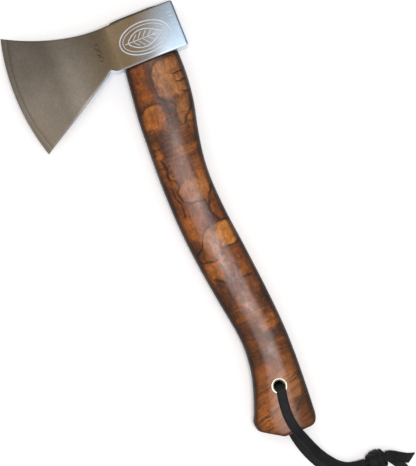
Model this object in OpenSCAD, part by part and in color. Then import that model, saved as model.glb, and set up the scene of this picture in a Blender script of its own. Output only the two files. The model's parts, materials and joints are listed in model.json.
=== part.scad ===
// Hatchet lying on its side: forged head, shaped walnut haft wedged in a tapered eye,
// and a leather lace that runs through a sleeved hole in the butt and ends in a knot.
//
// The parts are drawn from one datum: x = 0, y = 0 is where the eye's axis meets the top
// of the head. The blade points to -x, the butt to -y. All of it is then moved so that
// the origin is under the middle of the hatchet, on the surface that it lies on.

/* [Head] */
// Thickness across the cheeks
head_t = 27; // [27:0.1:27.2]
// Height of the eye block, along the haft
head_h = 38.9; // [36.5:0.2:41.5]
// From the eye's axis to the back of the poll
poll_reach = 33; // [31:0.5:36]
// From the eye's axis to the toe, the upper corner of the cutting edge
toe_reach = 108.2; // [102:0.2:114]
// How far the toe stands above the eye block
toe_rise = 22.7; // [19:0.1:26]
// From the eye's axis to the heel, the lower corner of the cutting edge
heel_reach = 105.8; // [100:0.2:110]
// How far the heel hangs below the top of the eye block
heel_drop = 79.8; // [75:0.2:85]
// Radius of the cutting edge, seen from the side
edge_radius = 187; // [160:1:230]
// Angle of one side of the edge's bevel
edge_bevel = 16; // [12:0.5:20]
// Half thickness of the blade where it meets the cutting edge's bevel
blade_half_t = 0.9; // [0.8:0.1:1.6]

/* [Eye] */
// Width of the eye at its lower mouth
eye_w = 19; // [18:0.1:20]
// Length of the eye at its lower mouth
eye_len = 42; // [40:0.5:43]
// How much wider each wall stands at the upper mouth
eye_flare = 0.8; // [0.4:0.1:1]

/* [Haft] */
// From the top of the head to the end of the butt
haft_end = 364.2; // [362.2:0.5:364.7]
// How far the tenon stands proud of the head
tenon_proud = 1; // [0.5:0.1:1.5]
// Roundness of the section: 2 is an ellipse, more is squarer
section_power = 2.3; // [2:0.1:2.6]
// Depth of the kerf that the wooden wedge opens
kerf_depth = 31; // [26:0.5:34]
// Thickness of the wooden wedge at the top
wedge_t = 5; // [4:0.1:6]

/* [Lanyard] */
// From the top of the head to the lanyard hole
hole_drop = 323.7; // [322.7:0.5:325.2]
// Bore of the sleeve in the lanyard hole
sleeve_bore = 9.2; // [9.2:0.1:9.4]
// Width of the leather lace
lace_w = 8; // [7:0.1:8]
// Thickness of the leather lace
lace_t = 2.2; // [1.8:0.1:2.2]
// Diameter of the knot
knot_d = 20; // [18:0.5:21]

/* [Hidden] */

margin = 1; // how far a cutting shape reaches past what it cuts
mid_z = head_t / 2;

// The cutting edge is an arc through the toe and the heel.
toe = [-toe_reach, toe_rise];
heel = [-heel_reach, -heel_drop];
chord = heel - toe;
edge_mid = (toe + heel) / 2;
chord_to_centre = sqrt(pow(edge_radius, 2) - pow(norm(chord) / 2, 2));
edge_centre = edge_mid + chord_to_centre * [-chord[1], chord[0]] / norm(chord);
edge_reach = edge_radius - edge_centre[0];

// The origin: under the middle of the box round the head and the haft.
shift = [(edge_reach - poll_reach) / 2, (haft_end - toe_rise) / 2, 0];

// Head outline, seen from the side
poll_corner_r = 1.6;
flat_top_end = [-8, 0];       // where the top edge leaves the eye block's flat top
neck = [-29, -0.95];          // lowest point of the top edge
flat_top_pull = [-16, 0];     // control points from the flat top to the neck
neck_back_pull = [-20, neck[1]];
neck_pull = [-52, -0.5];      // control points from the neck to the toe
toe_pull = [-82.2, 7.6];
spur = [-28.5, -head_h];      // front corner of the eye block's underside
notch = [-33, -head_h + 2.6]; // inner corner under the blade
beard_pull = [-51, -49.2];    // the beard line's two control points
heel_pull = heel + [20, 11.5];

// Half thickness of the head along the blade, as [x, half thickness]
poll_half_t = mid_z - 1;      // each cheek falls off by a millimetre towards the poll
cheek_back = 18;
cheek_front = -27;
blade_start = [cheek_front, mid_z];
blade_pull = [-32, mid_z - 0.2];
blade_pull_far = [-42, 2.6];
blade_end = [-116, blade_half_t];

// Eye and tenon
eye_r = eye_w / 2;
eye_centre_x = (eye_len - eye_w) / 2;
tenon_root = 6;               // how deep the tenon is drawn into the haft
flare_slope = eye_flare / head_h;

// Wooden wedge's thin end, and the kerf's length, which is more than the eye's
wedge_tip_t = 1;
kerf_len = eye_len + 10;

// Steel wedges
steel_len = 15;
steel_t = 2.6;
steel_tip_t = 0.5;
steel_depth = 19;
steel_x = 11;
steel_turn = 35;

// Haft outline: [distance from the top of the head, towards the blade, away from it, half thickness]
haft_stations = [
    [head_h, 22.9, 23.3, 12.2],
    [60.2, 25.4, 23.0, 12.1],
    [82.2, 27.7, 20.4, 11.8],
    [106.2, 28.8, 15.0, 11.4],
    [128.2, 29.6, 11.3, 11.0],
    [148.2, 29.6, 10.4, 10.8],
    [176.2, 28.8, 12.0, 10.6],
    [208.2, 25.9, 15.7, 10.5],
    [243.2, 21.0, 19.2, 10.5],
    [270.2, 16.6, 21.3, 10.5],
    [288.2, 15.7, 22.0, 10.6],
    [309.2, 18.2, 21.8, 10.8],
    [330.2, 24.7, 20.9, 10.9],
    [348.2, 31.8, 20.0, 10.9],
    [366.2, 38.0, 18.6, 10.9],
];
haft_rings = 46;
butt_rings = 5;
haft_sides = 36;
shoulder_chamfer = 1;
butt_round = 7;               // radius to which the butt's faces roll over
butt_round_used = 6;          // how much of that roll is followed
butt_round_start = haft_end - 5;
butt_block = 60;              // half width of the block that the butt's outline is cut from
toe_round_r = 8.7;
toe_round_centre = [-22.6, -347.4];
toe_slope = 30.6;             // slope of the butt's front chamfer
butt_corner_r = 4;
butt_corner_x = 19;

// Sleeve in the lanyard hole
sleeve_r = sleeve_bore / 2;
sleeve_wall = 0.6;
rim_r = 6.2;
rim_z = 11.2;                 // how far the rim's crest is from the haft's middle plane
rim_lip = 0.5;                // thickness of the rim's outer edge
seat_z = rim_z - rim_lip;

// Lace section, and the two routes as [x, y, height, roll], from the middle of the hole
lace_corner = 0.6;
lace_steps = 3;
front_route = [
    [0, -324.3, 13.5, 0],
    [0, -324.3, 18, 0],
    [0, -324.3, 22.4, 0],
    [0, -325.3, 24.9, 0],
    [0, -327.8, 25.9, 0],
    [-0.6, -331.2, 25.8, 0],
    [-1.7, -338.2, 25.7, 0],
    [-2.3, -347.2, 25.7, 0],
    [-1.5, -356.2, 25.6, 0],
    [0.4, -363.7, 24.4, 0],
    [2.7, -370.2, 20.4, 0],
    [4.8, -376.2, 14.6, 0],
    [7.2, -382.7, 8.2, 0],
    [10.2, -389.2, 4.3, 8],
    [14.6, -396.2, 3.2, 16],
    [20.6, -403.4, 3.2, 16],
    [27.6, -408.1, 4.4, 10],
    [34.6, -409.8, 6.6, 4],
    [40.2, -410.2, 8.4, 0],
    [42.4, -410.4, 8.8, 0],
];
rear_route = [
    [0, -324.3, 13.5, 0],
    [0, -324.3, 9, 0],
    [0, -324.3, 4.6, 0],
    [0, -325.3, 2.1, 0],
    [0, -327.8, 1.15, 0],
    [-0.8, -332.2, 1.2, 0],
    [-2.6, -340.2, 1.2, 0],
    [-3.8, -350.2, 1.2, 0],
    [-3.9, -359.2, 1.2, 0],
    [-3.2, -367.2, 1.2, 0],
    [-1.6, -375.2, 1.2, 0],
    [0.8, -383.2, 1.2, 0],
    [4.2, -391.2, 1.2, 0],
    [8.8, -399.2, 1.2, 0],
    [14.8, -406.4, 1.2, 0],
    [21.8, -411.4, 1.3, 0],
    [29.2, -413.6, 2.6, 0],
    [36, -413.4, 4.6, 0],
    [40.6, -412.4, 5.8, 0],
    [42.4, -411.7, 6.1, 0],
];
knot_centre = [51.4, -411.2, knot_d / 2];
knot_len = 18;
knot_face_r = 8;
front_tail_route = [
    [60.4, -410.8, 8.9, 0],
    [63.2, -411.3, 8.2, 0],
    [66.5, -413.2, 5.2, 0],
    [71.5, -416.6, 2.9, 0],
    [77, -419.8, 1.6, 0],
    [83, -421.8, 1.2, 0],
];
rear_tail_route = [
    [60.4, -411.6, 6.2, 0],
    [62.8, -413, 5, 0],
    [65.2, -416.2, 2.6, 0],
    [68.4, -421.2, 1.3, 0],
    [71, -427.2, 1.2, 0],
    [73.4, -434.2, 1.2, 0],
];

$fn = 96;

// ---- curves ----

// Points of a cubic Bezier, without its first point
function bezier(a, b, c, d, n) = [
    for (i = [1 : n])
        let (t = i / n, s = 1 - t)
            s * s * s * a + 3 * s * s * t * b + 3 * s * t * t * c + t * t * t * d
];

// Points of an arc from angle a to angle b
function arc(centre, r, a, b, n) = [
    for (i = [0 : n])
        let (t = a + (b - a) * i / n) centre + r * [cos(t), sin(t)]
];

// Slope of column k of a table at row i, from the rows on each side of it
function slope(table, i, k) =
    let (a = max(i - 1, 0), b = min(i + 1, len(table) - 1))
        (table[b][k] - table[a][k]) / (table[b][0] - table[a][0]);

// The table's row that starts the span holding d
function span(table, d, i = 0) =
    i >= len(table) - 2 || d < table[i + 1][0] ? i : span(table, d, i + 1);

// Column k of a table at distance d, on a smooth curve through its rows
function smooth(table, d, k) =
    let (
        i = span(table, d),
        gap = table[i + 1][0] - table[i][0],
        t = (d - table[i][0]) / gap,
        a = table[i][k],
        b = table[i + 1][k],
        ma = slope(table, i, k) * gap,
        mb = slope(table, i + 1, k) * gap
    )
        (2 * t * t * t - 3 * t * t + 1) * a + (t * t * t - 2 * t * t + t) * ma
            + (3 * t * t - 2 * t * t * t) * b + (t * t * t - t * t) * mb;

// ---- head ----

// Angle of a point on the cutting edge's arc
function edge_angle(p) =
    let (a = atan2(p[1] - edge_centre[1], p[0] - edge_centre[0])) a < 0 ? a + 360 : a;

// Outline seen from the side, beginning at the poll and running over the top
function head_outline() = concat(
    arc([poll_reach - poll_corner_r, -poll_corner_r], poll_corner_r, 0, 90, 6),
    [flat_top_end],
    bezier(flat_top_end, flat_top_pull, neck_back_pull, neck, 8),
    bezier(neck, neck_pull, toe_pull, toe, 20),
    arc(edge_centre, edge_radius, edge_angle(toe), edge_angle(heel), 24),
    bezier(heel, heel_pull, beard_pull, notch, 12),
    [spur],
    arc([poll_reach - poll_corner_r, poll_corner_r - head_h], poll_corner_r, -90, 0, 6)
);

// One side of the outline seen from above, from the poll to the cutting edge
function head_half_plan() = concat(
    [[poll_reach, poll_half_t - poll_corner_r], [poll_reach - poll_corner_r, poll_half_t]],
    [[cheek_back, mid_z], blade_start],
    bezier(blade_start, blade_pull, blade_pull_far, blade_end, 28)
);

module head_plan() {
    half = head_half_plan();
    far_side = [for (i = [len(half) - 1 : -1 : 0]) [half[i][0], -half[i][1]]];
    polygon(concat(half, far_side));
}

// Everything inside the cutting edge's two bevels: two cones that meet on the edge's arc
module bevel_lens() {
    reach_in = mid_z / tan(edge_bevel);
    translate([edge_centre[0], edge_centre[1], 0])
        rotate_extrude($fn = 180)
            polygon([
                [0, -mid_z],
                [edge_radius - reach_in, -mid_z],
                [edge_radius, 0],
                [edge_radius - reach_in, mid_z],
                [0, mid_z],
            ]);
}

// The tapered eye from y = low to y = high: two cones and the wedge between them
module eye_shape(low, high) {
    low_r = eye_r + flare_slope * (low + head_h);
    high_r = eye_r + flare_slope * (high + head_h);
    for (side = [-1, 1])
        translate([side * eye_centre_x, low, 0])
            rotate([-90, 0, 0])
                cylinder(r1 = low_r, r2 = high_r, h = high - low);
    translate([-eye_centre_x, 0, 0])
        rotate([90, 0, 90])
            linear_extrude(2 * eye_centre_x)
                polygon([[low, -low_r], [high, -high_r], [high, high_r], [low, low_r]]);
}

module head() {
    color("lightslategray")
        translate([shift[0], shift[1], mid_z])
            difference() {
                intersection() {
                    translate([0, 0, -mid_z])
                        linear_extrude(head_t)
                            polygon(head_outline());
                    translate([0, toe_rise + margin, 0])
                        rotate([90, 0, 0])
                            linear_extrude(toe_rise + heel_drop + 2 * margin)
                                head_plan();
                    bevel_lens();
                }
                eye_shape(-head_h - margin, margin);
            }
}

// ---- haft and its wedges ----

// How much the butt's faces have rolled over at distance d
function butt_roll(d) =
    d <= butt_round_start ? 1 : sqrt(1 - pow(min(d - butt_round_start, butt_round_used) / butt_round, 2));

// How much the shoulder's rim is cut back at distance d
function shoulder_cut(d) = max(0, shoulder_chamfer - (d - head_h));

function power_of(c, h) = sign(c) * pow(abs(c), 2 / section_power) * h;

function haft_ring(d) =
    let (
        front = smooth(haft_stations, d, 1) - shoulder_cut(d),
        back = smooth(haft_stations, d, 2) - shoulder_cut(d),
        half_t = (smooth(haft_stations, d, 3) - shoulder_cut(d)) * butt_roll(d),
        middle = (back - front) / 2,
        half_w = (back + front) / 2
    ) [
        for (j = [0 : haft_sides - 1])
            let (a = 360 * j / haft_sides)
                [middle + power_of(cos(a), half_w), -d, power_of(sin(a), half_t)]
    ];

// Distances of the rings: close together at the shoulder and at the butt
haft_distances = concat(
    [head_h, head_h + shoulder_chamfer],
    [
        for (i = [1 : haft_rings])
            head_h + shoulder_chamfer
                + (butt_round_start - head_h - shoulder_chamfer) * i / haft_rings
    ],
    [
        for (i = [1 : butt_rings])
            butt_round_start + (haft_end + margin - butt_round_start) * i / butt_rings
    ]
);

// A closed skin over rings that each have the same number of points
module skin(rings) {
    n = len(rings[0]);
    last = len(rings) - 1;
    polyhedron(
        points = [for (ring = rings) for (p = ring) p],
        faces = concat(
            [[for (j = [0 : n - 1]) j]],
            [for (i = [0 : last - 1]) for (j = [0 : n - 1])
                [i * n + j, (i + 1) * n + j, i * n + (j + 1) % n]],
            [for (i = [0 : last - 1]) for (j = [0 : n - 1])
                [i * n + (j + 1) % n, (i + 1) * n + j, (i + 1) * n + (j + 1) % n]],
            [[for (j = [n - 1 : -1 : 0]) last * n + j]]
        )
    );
}

// The butt seen from the side: a rounded toe, a chamfer and a flat end
function butt_outline() =
    let (
        toe_low = toe_round_centre - toe_round_r * [sin(toe_slope), cos(toe_slope)],
        run = (haft_end + toe_low[1]) / tan(toe_slope)
    ) concat(
        [[-butt_block, 0], [-butt_block, toe_round_centre[1]]],
        arc(toe_round_centre, toe_round_r, 180, 270 - toe_slope, 8),
        [[toe_low[0] + run, -haft_end]],
        arc([butt_corner_x - butt_corner_r, butt_corner_r - haft_end], butt_corner_r, -90, -10, 5),
        [[butt_block, butt_block - haft_end], [butt_block, 0]]
    );

module wedge_prism(top_t, tip_t, depth, len) {
    translate([-len / 2, 0, 0])
        rotate([90, 0, 90])
            linear_extrude(len)
                polygon([
                    [tenon_proud, top_t / 2],
                    [-depth, tip_t / 2],
                    [-depth, -tip_t / 2],
                    [tenon_proud, -top_t / 2],
                ]);
}

module kerf() {
    wedge_prism(wedge_t, wedge_tip_t, kerf_depth, kerf_len);
}

module steel_wedge(side) {
    translate([side * steel_x, 0, 0])
        rotate([0, side * steel_turn, 0])
            rotate([0, 90, 0])
                wedge_prism(steel_t, steel_tip_t, steel_depth, steel_len);
}

module sleeve_hole(r, low, high) {
    translate([0, -hole_drop, low])
        cylinder(r = r, h = high - low);
}

module haft() {
    color("saddlebrown")
        translate([shift[0], shift[1], mid_z])
            difference() {
                union() {
                    intersection() {
                        skin([for (d = haft_distances) haft_ring(d)]);
                        translate([0, 0, -mid_z])
                            linear_extrude(head_t)
                                polygon(butt_outline());
                    }
                    eye_shape(-head_h - tenon_root, tenon_proud);
                }
                kerf();
                steel_wedge(-1);
                steel_wedge(1);
                sleeve_hole(sleeve_r + sleeve_wall, -mid_z, mid_z);
                sleeve_hole(rim_r, seat_z, mid_z);
                sleeve_hole(rim_r, -mid_z, -seat_z);
            }
}

module wooden_wedge() {
    color("burlywood")
        translate([shift[0], shift[1], mid_z])
            difference() {
                intersection() {
                    kerf();
                    eye_shape(-head_h, tenon_proud);
                }
                steel_wedge(-1);
                steel_wedge(1);
            }
}

module front_steel_wedge() {
    color("dimgray")
        translate([shift[0], shift[1], mid_z])
            steel_wedge(-1);
}

module rear_steel_wedge() {
    color("dimgray")
        translate([shift[0], shift[1], mid_z])
            steel_wedge(1);
}

// ---- lanyard ----

// Half of the sleeve's section: the bore, the flare over the rim, and the outside wall
function sleeve_half() =
    let (flare_r = rim_r - sleeve_r)
        concat(
            [[sleeve_r, 0]],
            arc([rim_r, rim_z - flare_r], flare_r, 180, 90, 8),
            [[rim_r, seat_z], [sleeve_r + sleeve_wall, seat_z], [sleeve_r + sleeve_wall, 0]]
        );

module lanyard_sleeve() {
    color("gold")
        translate([shift[0], shift[1] - hole_drop, mid_z])
            for (side = [0, 1])
                mirror([0, 0, side])
                    rotate_extrude()
                        polygon(sleeve_half());
}

// Smooth route: lace_steps points for each span of the hand-set one
function fine_route(route) =
    let (
        along = [for (i = [0 : len(route) - 1]) concat([i], route[i])],
        n = (len(route) - 1) * lace_steps
    )
        [for (i = [0 : n]) [for (k = [1 : 4]) smooth(along, i / lace_steps, k)]];

function place(p) = [p[0], p[1], p[2]];

function unit(v) = v / norm(v);

// Direction of the route at point i
function heading(route, i) =
    unit(place(route[min(i + 1, len(route) - 1)]) - place(route[max(i - 1, 0)]));

// The lace's flat side stays level: across the route in plan, and along x inside the hole
function across(forward) =
    norm([forward[0], forward[1]]) < 0.05 ? [1, 0, 0] : unit([-forward[1], forward[0], 0]);

function lace_section() =
    let (w = lace_w / 2, t = lace_t / 2, c = lace_corner) [
        [w, c - t], [w, t - c], [w - c, t], [c - w, t],
        [-w, t - c], [-w, c - t], [c - w, -t], [w - c, -t],
    ];

function lace_ring(route, i) =
    let (
        forward = heading(route, i),
        level = across(forward),
        up = cross(forward, level),
        side = level * cos(route[i][3]) + up * sin(route[i][3]),
        face = cross(forward, side)
    )
        [for (s = lace_section()) place(route[i]) + s[0] * side + s[1] * face];

module lace(route) {
    fine = fine_route(route);
    color("black")
        translate([shift[0], shift[1], 0])
            skin([for (i = [0 : len(fine) - 1]) lace_ring(fine, i)]);
}

module lace_front_strand() {
    lace(front_route);
}

module lace_rear_strand() {
    lace(rear_route);
}

module lace_front_tail() {
    lace(front_tail_route);
}

module lace_rear_tail() {
    lace(rear_tail_route);
}

// A barrel whose flat ends take the strands on one side and the tails on the other
module lace_knot() {
    pull = (2 * knot_d - knot_face_r) / 3; // takes the middle of the curve out to knot_d / 2
    color("black")
        translate([shift[0], shift[1], 0] + knot_centre)
            rotate([0, 90, 0])
                rotate_extrude()
                    polygon(concat(
                        [[0, -knot_len / 2]],
                        [[knot_face_r, -knot_len / 2]],
                        bezier(
                            [knot_face_r, -knot_len / 2],
                            [pull, -knot_len / 4],
                            [pull, knot_len / 4],
                            [knot_face_r, knot_len / 2],
                            12
                        ),
                        [[0, knot_len / 2]]
                    ));
}

head();
haft();
wooden_wedge();
front_steel_wedge();
rear_steel_wedge();
lanyard_sleeve();
lace_front_strand();
lace_rear_strand();
lace_knot();
lace_front_tail();
lace_rear_tail();
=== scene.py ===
"""A walnut-hafted hatchet with a knotted leather lace, lying on its cheek on a pale floor."""
import json
import math

import bmesh
import bpy
import numpy as np
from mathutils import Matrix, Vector
from mathutils.bvhtree import BVHTree

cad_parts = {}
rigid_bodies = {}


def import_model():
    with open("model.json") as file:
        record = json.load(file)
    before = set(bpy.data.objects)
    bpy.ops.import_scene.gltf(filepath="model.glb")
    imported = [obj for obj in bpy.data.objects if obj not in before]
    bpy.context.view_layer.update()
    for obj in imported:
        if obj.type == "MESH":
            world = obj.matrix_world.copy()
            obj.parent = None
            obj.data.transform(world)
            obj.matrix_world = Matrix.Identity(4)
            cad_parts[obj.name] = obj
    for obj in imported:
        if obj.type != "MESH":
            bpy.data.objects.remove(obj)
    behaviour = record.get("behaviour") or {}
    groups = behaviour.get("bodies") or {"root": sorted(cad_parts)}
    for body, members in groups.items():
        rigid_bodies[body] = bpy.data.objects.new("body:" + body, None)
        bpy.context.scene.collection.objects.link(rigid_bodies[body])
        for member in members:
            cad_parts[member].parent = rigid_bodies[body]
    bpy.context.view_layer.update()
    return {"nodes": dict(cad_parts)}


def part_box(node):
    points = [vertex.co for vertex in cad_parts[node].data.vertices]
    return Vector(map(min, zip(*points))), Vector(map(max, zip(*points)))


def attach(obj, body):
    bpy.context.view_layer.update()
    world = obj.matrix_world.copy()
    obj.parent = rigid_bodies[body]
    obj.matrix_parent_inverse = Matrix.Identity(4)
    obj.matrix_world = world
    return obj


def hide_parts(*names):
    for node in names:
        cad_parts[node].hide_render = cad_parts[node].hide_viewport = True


for leftover in list(bpy.data.objects):
    bpy.data.objects.remove(leftover)

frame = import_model()

MM = 0.001

# ---- places and sizes, from the frame ----

head_lo, head_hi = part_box("head")
haft_lo, haft_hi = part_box("haft")
sleeve_lo, sleeve_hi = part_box("lanyard_sleeve")
wedge_lo, wedge_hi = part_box("wooden_wedge")
steel_lo, steel_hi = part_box("rear_steel_wedge")
knot_lo, knot_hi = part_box("lace_knot")

TENON_PROUD = 1 * MM
MID_Z = (head_lo.z + head_hi.z) / 2
HALF_T = head_hi.z - MID_Z
EYE_X = (sleeve_lo.x + sleeve_hi.x) / 2  # the eye's axis runs through the lanyard hole too
TOP_Y = haft_hi.y - TENON_PROUD  # top of the head's eye block
HOLE = Vector((EYE_X, (sleeve_lo.y + sleeve_hi.y) / 2, MID_Z))


def design(x, y, z):
    """A point in millimetres from the eye's axis, the head's top and the floor, in the row frame."""
    return Vector((EYE_X + x * MM, TOP_Y + y * MM, z * MM))


def linked(name, data):
    """A new object for a mesh, a camera or a light, linked into the scene."""
    made = bpy.data.objects.new(name, data)
    bpy.context.scene.collection.objects.link(made)
    return made


# ---- camera ----

VIEW_TURN = math.radians(-21.5)
VIEW_CENTRE = design(-8.4, -187.1, 13.5)
VIEW_HEIGHT = 1.45
VIEW_LENS = 137.0

camera_data = bpy.data.cameras.new("camera")
camera_data.lens = VIEW_LENS
camera_data.sensor_width = 36.0
camera_data.clip_start = 0.05
camera = linked("camera", camera_data)
camera.location = VIEW_CENTRE + Vector((0, 0, VIEW_HEIGHT))
camera.rotation_euler = (0, 0, VIEW_TURN)
bpy.context.scene.camera = camera


# ---- mesh helpers ----


def new_object(name, vertices, faces, smooth=True):
    """A mesh object from lists of points and faces, with its normals made to point outwards."""
    mesh = bpy.data.meshes.new(name)
    mesh.from_pydata([tuple(v) for v in vertices], [], faces)
    work = bmesh.new()
    work.from_mesh(mesh)
    bmesh.ops.recalc_face_normals(work, faces=work.faces)
    work.to_mesh(mesh)
    work.free()
    mesh.polygons.foreach_set("use_smooth", [smooth] * len(mesh.polygons))
    return linked(name, mesh)


def lattice_faces(rows, columns):
    """Quads between rows of points, each row joined end to end."""
    faces = []
    for i in range(rows - 1):
        for j in range(columns):
            k = (j + 1) % columns
            faces.append((i * columns + j, i * columns + k, (i + 1) * columns + k, (i + 1) * columns + j))
    return faces


def skin(name, loops, ends):
    """A mesh over closed loops with equal numbers of points, with the faces that close its ends."""
    points = [p for loop in loops for p in loop]
    return new_object(name, points, lattice_faces(len(loops), len(loops[0])) + ends)


def loft(name, loops):
    """A skin over loops, with one face at each end."""
    n = len(loops[0])
    return skin(name, loops, [tuple(range(n)), tuple(range((len(loops) - 1) * n, len(loops) * n))])


def joined(name, parts):
    """One object with the meshes of several, which are deleted."""
    work = bmesh.new()
    for part in parts:
        work.from_mesh(part.data)
    mesh = bpy.data.meshes.new(name)
    work.to_mesh(mesh)
    work.free()
    for part in parts:
        bpy.data.objects.remove(part)
    return linked(name, mesh)


def turns(count, shift=0.0):
    """The angles of a full turn in equal steps."""
    return 2 * math.pi * (np.arange(count) + shift) / count


def corner(radius, count):
    """How far in and how far back the points of a rounded corner lie, from its side to its face."""
    quarter = np.linspace(math.pi / 2, 0, count)
    return [(radius * (1 - math.cos(a)), radius * (1 - math.sin(a))) for a in quarter]


def unit(rows):
    """Rows of vectors at length 1."""
    return rows / np.linalg.norm(rows, axis=1)[:, None]


def hermite(t, start, start_slope, end, end_slope):
    """A cubic from start to end with given slopes, at t from 0 to 1."""
    return (
        (2 * t**3 - 3 * t**2 + 1) * start + (t**3 - 2 * t**2 + t) * start_slope
        + (3 * t**2 - 2 * t**3) * end + (t**3 - t**2) * end_slope
    )


def modified(made, kind, **settings):
    """Puts an object through one modifier, and keeps the result as its mesh."""
    modifier = made.modifiers.new(kind, kind)
    for key, value in settings.items():
        setattr(modifier, key, value)
    bpy.context.view_layer.update()
    graph = bpy.context.evaluated_depsgraph_get()
    old = made.data
    mesh = bpy.data.meshes.new_from_object(made.evaluated_get(graph))
    made.modifiers.clear()
    made.data = mesh
    bpy.data.meshes.remove(old)
    mesh.name = made.name


def cut(made, cutter):
    """Takes the cutter's volume out of an object, and deletes the cutter."""
    modified(
        made, "BOOLEAN",
        operation="DIFFERENCE", solver="EXACT", material_mode="TRANSFER", object=cutter,
    )
    bpy.data.objects.remove(cutter)


def finish_shading(made, sharp_degrees=40):
    """Smooth shading between sharp edges, with the large faces' normals kept flat."""
    made.data.polygons.foreach_set("use_smooth", [True] * len(made.data.polygons))
    made.data.set_sharp_from_angle(angle=math.radians(sharp_degrees))
    modified(made, "WEIGHTED_NORMAL", keep_sharp=True, weight=80)


def smoothed(values, sigma):
    """Values run through a Gaussian, with their ends continued in a straight line."""
    values = np.asarray(values, float)
    reach = max(1, int(4 * sigma))
    kernel = np.exp(-0.5 * (np.arange(-reach, reach + 1) / sigma) ** 2)
    kernel /= kernel.sum()
    before = 2 * values[0] - values[reach:0:-1]
    after = 2 * values[-1] - values[-2 : -reach - 2 : -1]
    return np.convolve(np.concatenate([before, values, after]), kernel, mode="valid")


def tree_of(node):
    """A ray-casting tree of one CAD node's mesh."""
    mesh = frame["nodes"][node].data
    return BVHTree.FromPolygons([v.co for v in mesh.vertices], [p.vertices for p in mesh.polygons])


def hit(tree, start, direction):
    """The first point that a ray meets, or None."""
    return tree.ray_cast(Vector(start), Vector(direction))[0]


# ---- materials ----


def srgb(red, green, blue):
    """The linear colour of a display colour that is given from 0 to 255."""

    def linear(c):
        c = c / 255
        return c / 12.92 if c <= 0.04045 else ((c + 0.055) / 1.055) ** 2.4

    return linear(red), linear(green), linear(blue)


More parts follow.
